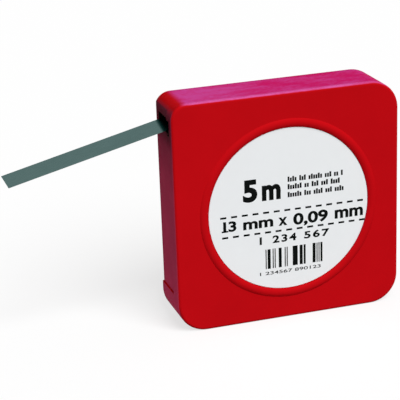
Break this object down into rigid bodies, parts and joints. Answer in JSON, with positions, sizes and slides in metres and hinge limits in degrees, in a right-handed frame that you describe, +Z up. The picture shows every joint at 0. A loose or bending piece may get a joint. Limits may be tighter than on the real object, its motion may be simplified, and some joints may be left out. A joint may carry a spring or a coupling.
{
  "type": "feeler gauge strip roll",
  "caption": "Flat red plastic dispenser case holding a coil of thin steel feeler strip, with the strip's free end standing out of a side slot and a round paper label in a raised ring.",
  "frame": {"origin": "under the middle of the case, on the flat base it stands on", "axes": "+X to the right along the label face, +Y from the label face to the back, +Z up; the strip leaves towards -X"},
  "size_m": [0.1335, 0.02, 0.08],
  "materials": {
    "case_plastic": "moulded red plastic, satin, with a fine grain on its sides",
    "label_paper": "smooth white printed paper",
    "strip_steel": "rolled spring steel, dull grey with a fine grain along its length"
  },
  "bodies": {
    "case": {"case_shell": "case_plastic", "back_cover": "case_plastic", "label": "label_paper"},
    "coil": {"strip_coil": "strip_steel"},
    "strip": {"strip_end": "strip_steel"}
  },
  "joints": [
    {"name": "coil_spin", "type": "hinge", "parent": "case", "child": "coil", "pos_m": [0, 0.0001, 0.04], "axis": [0, -1, 0], "range_deg": [0, 38]},
    {"name": "strip_draw", "type": "slide", "parent": "case", "child": "strip", "axis": [-0.9732, 0, -0.23], "range_m": [0, 0.025]}
  ],
  "couplings": [
    {"joint": "strip_draw", "follows": "coil_spin", "m_per_rad": 0.0377}
  ]
}
